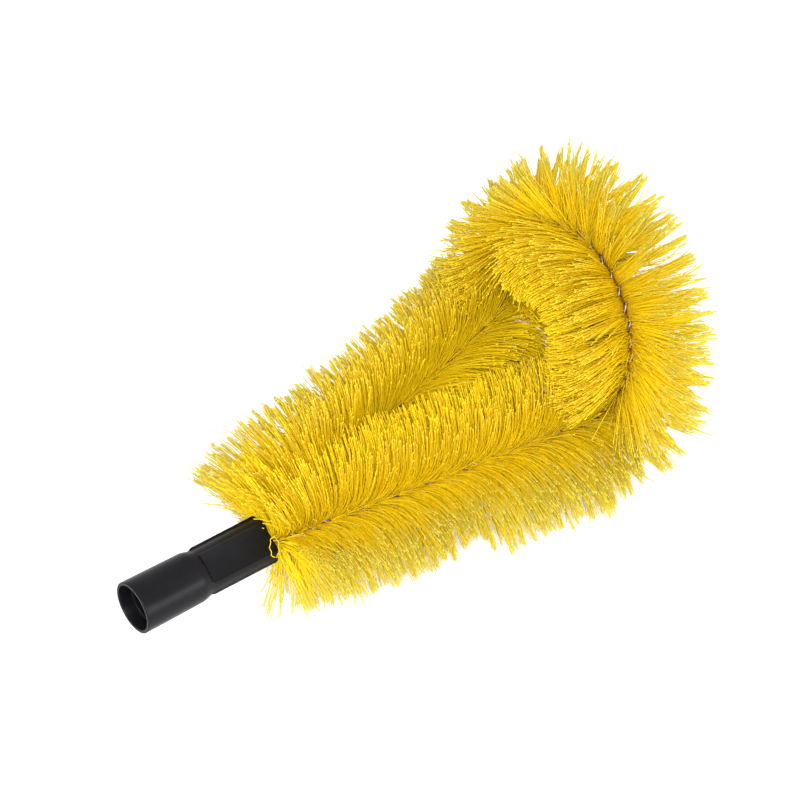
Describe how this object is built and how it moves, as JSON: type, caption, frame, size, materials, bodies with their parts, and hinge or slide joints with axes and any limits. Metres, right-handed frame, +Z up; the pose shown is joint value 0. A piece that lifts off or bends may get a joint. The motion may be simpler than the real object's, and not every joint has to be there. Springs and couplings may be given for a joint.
{
  "type": "gutter brush",
  "caption": "Gutter brush: bristles held in a loop of twisted wire with an upturned head, on a moulded socket that fits a pole.",
  "frame": {"origin": "centre of the object's footprint, on the surface that its lowest bristles stand on", "axes": "+X from the pole socket to the upturned head, +Z up, the loop's two legs side by side along Y"},
  "size_m": [0.3631, 0.1977, 0.1786],
  "materials": {
    "socket": "satin black moulded plastic",
    "wire": "galvanised",
    "bristle": "yellow crimped filament"
  },
  "bodies": {
    "root": {"head_bristles_1": "bristle", "head_bristles_10": "bristle", "head_bristles_11": "bristle", "head_bristles_2": "bristle", "head_bristles_3": "bristle", "head_bristles_4": "bristle", "head_bristles_5": "bristle", "head_bristles_6": "bristle", "head_bristles_7": "bristle", "head_bristles_8": "bristle", "head_bristles_9": "bristle", "left_leg_bristles_1": "bristle", "left_leg_bristles_2": "bristle", "left_leg_bristles_3": "bristle", "left_leg_bristles_4": "bristle", "left_leg_bristles_5": "bristle", "left_leg_bristles_6": "bristle", "left_leg_bristles_7": "bristle", "left_leg_bristles_8": "bristle", "pole_socket": "socket", "right_leg_bristles_1": "bristle", "right_leg_bristles_2": "bristle", "right_leg_bristles_3": "bristle", "right_leg_bristles_4": "bristle", "right_leg_bristles_5": "bristle", "right_leg_bristles_6": "bristle", "right_leg_bristles_7": "bristle", "right_leg_bristles_8": "bristle", "twist_wire_1": "wire", "twist_wire_2": "wire"}
  },
  "joints": []
}
